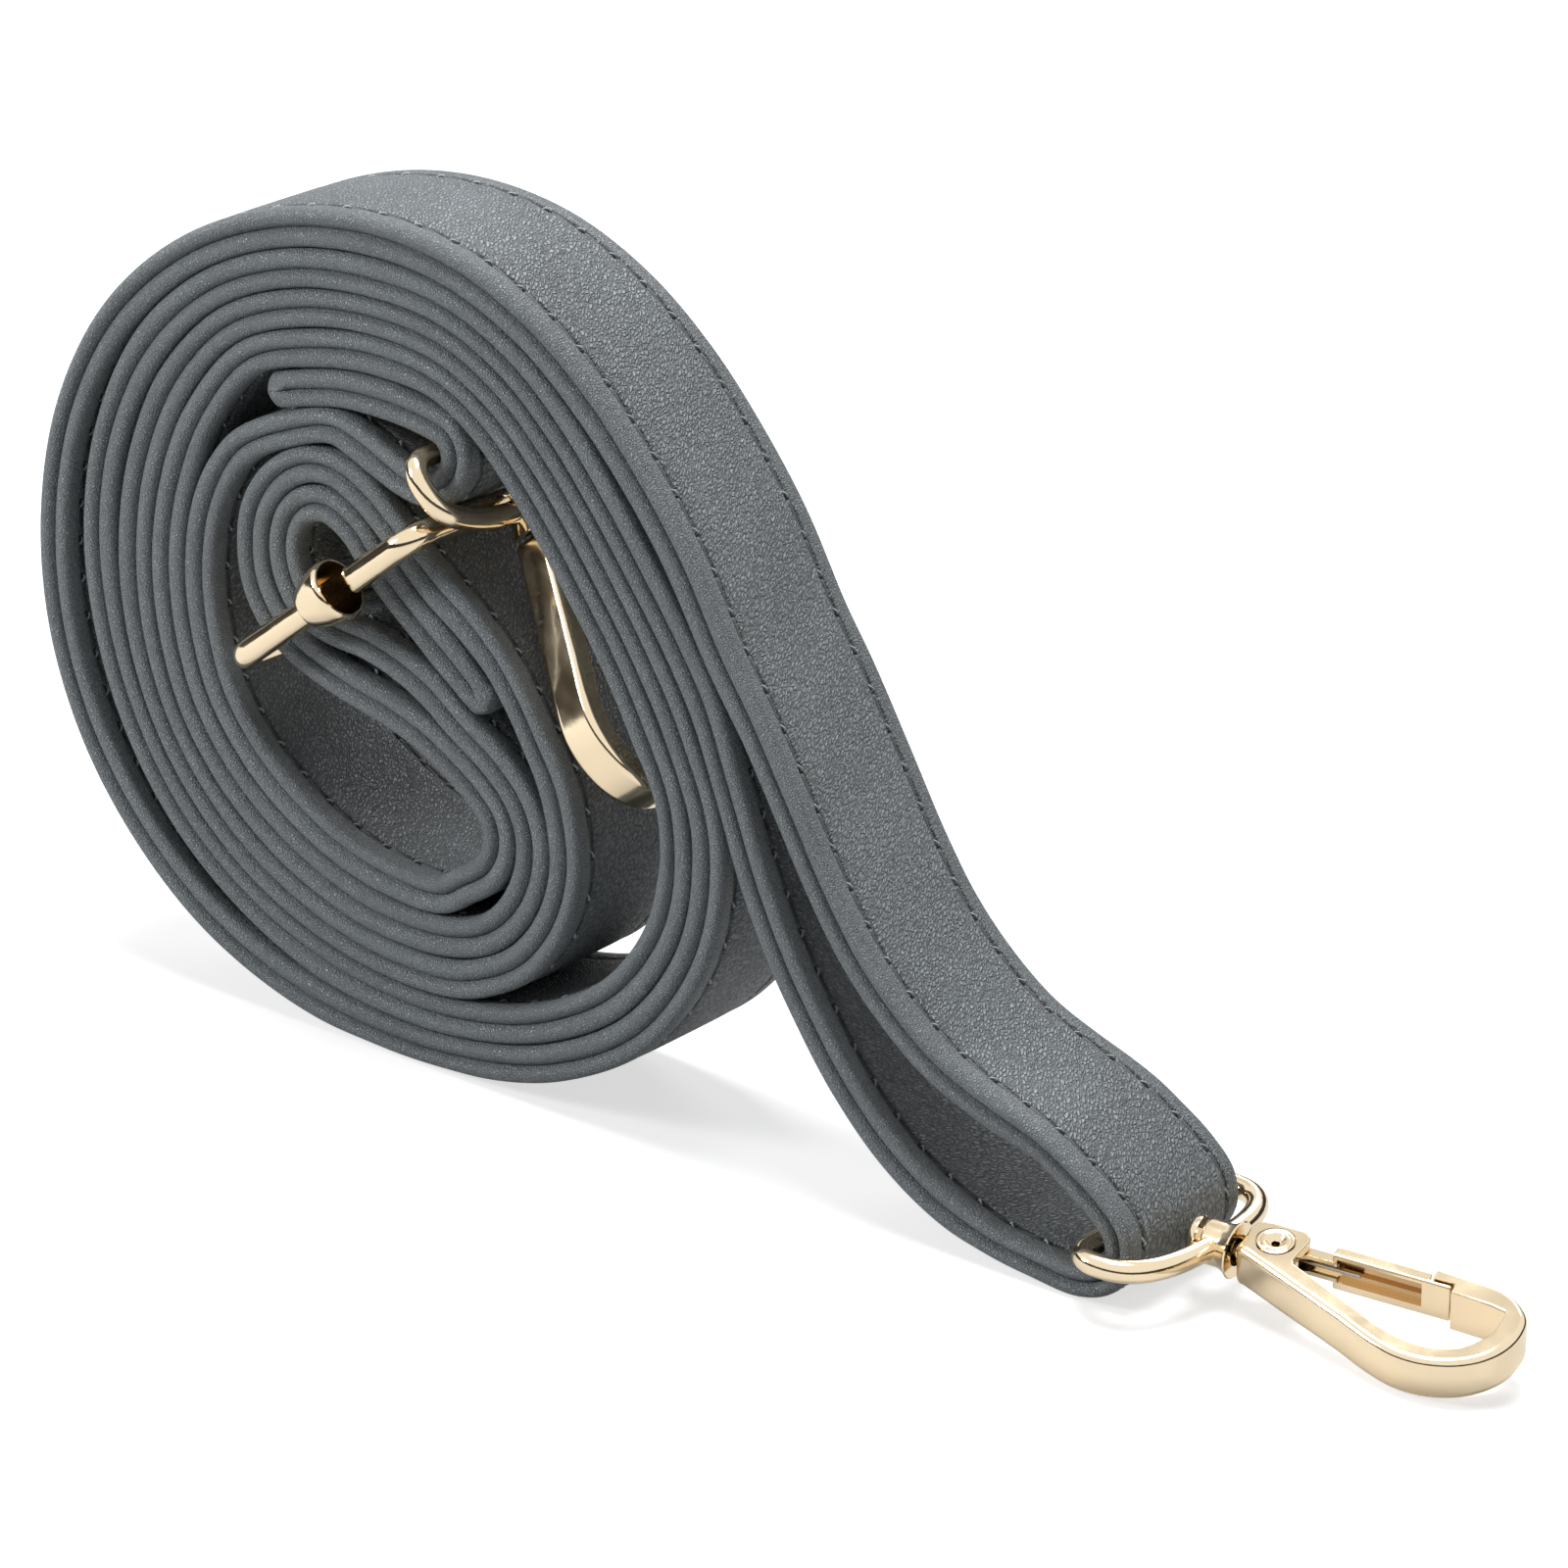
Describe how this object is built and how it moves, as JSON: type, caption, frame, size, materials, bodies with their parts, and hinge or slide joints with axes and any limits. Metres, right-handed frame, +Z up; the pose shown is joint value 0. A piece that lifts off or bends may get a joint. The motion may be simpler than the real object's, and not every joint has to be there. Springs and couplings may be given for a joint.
{
  "type": "detachable bag strap",
  "caption": "Flat leather bag strap, rolled for storage, with a slider and a sprung swivel hook on a D ring at each end.",
  "frame": {"origin": "centre of the bounding box, on the surface that the rolled strap stands on", "axes": "+Z up, the coil's axis and the strap's width along Y, +X from the coil along the tail to the outer hook"},
  "size_m": [0.1614, 0.0316, 0.0805],
  "materials": {
    "face_leather": "fine grain, low sheen",
    "back_leather": "fine grain, low sheen",
    "gold_plate": "polished pale gold plate on a casting",
    "spring_steel": "drawn wire"
  },
  "bodies": {
    "strap": {"strap_face_ply": "face_leather", "strap_back_ply": "back_leather", "slider_frame": "gold_plate"},
    "slider_bar": {"slider_center_bar": "gold_plate"},
    "ring_a": {"hook_a_ring": "gold_plate"},
    "hook_a": {"hook_a_swivel_post": "gold_plate", "hook_a_body": "gold_plate", "hook_a_gate_rivet": "gold_plate"},
    "gate_a": {"hook_a_gate": "gold_plate", "hook_a_gate_spring": "spring_steel"},
    "ring_b": {"hook_b_ring": "gold_plate"},
    "hook_b": {"hook_b_swivel_post": "gold_plate", "hook_b_body": "gold_plate", "hook_b_gate_rivet": "gold_plate"},
    "gate_b": {"hook_b_gate": "gold_plate", "hook_b_gate_spring": "spring_steel"}
  },
  "joints": [
    {"name": "slider_bar_slide", "type": "slide", "parent": "strap", "child": "slider_bar", "axis": [0.7302, 0, 0.6832], "range_m": [-0.0012, 0.0005]},
    {"name": "ring_a_swing", "type": "hinge", "parent": "strap", "child": "ring_a", "pos_m": [-0.03703, 0, 0.05956], "axis": [0, 1, 0], "range_deg": [-0.8, 0.8]},
    {"name": "hook_a_swivel", "type": "hinge", "parent": "ring_a", "child": "hook_a", "pos_m": [-0.0312, 0, 0.05324], "axis": [0.6782, 0, -0.7349], "range_deg": [-5, 5]},
    {"name": "gate_a_swing", "type": "hinge", "parent": "hook_a", "child": "gate_a", "pos_m": [-0.02773, 0, 0.04948], "axis": [-0.7349, 0, -0.6782], "range_deg": [0, 22], "stiffness_Nm_per_rad": 0.02, "springref_deg": -20.05},
    {"name": "ring_b_swing", "type": "hinge", "parent": "strap", "child": "ring_b", "pos_m": [0.04204, 0, 0.00528], "axis": [0, 1, 0], "range_deg": [-50, 90]},
    {"name": "hook_b_swivel", "type": "hinge", "parent": "ring_b", "child": "hook_b", "pos_m": [0.05064, 0, 0.00523], "axis": [0.9903, 0.1392, -0.0052], "continuous": true},
    {"name": "gate_b_swing", "type": "hinge", "parent": "hook_b", "child": "gate_b", "pos_m": [0.05571, 0.00071, 0.0052], "axis": [-0.0457, 0.2895, -0.9561], "range_deg": [0, 22], "stiffness_Nm_per_rad": 0.02, "springref_deg": -20.05}
  ]
}
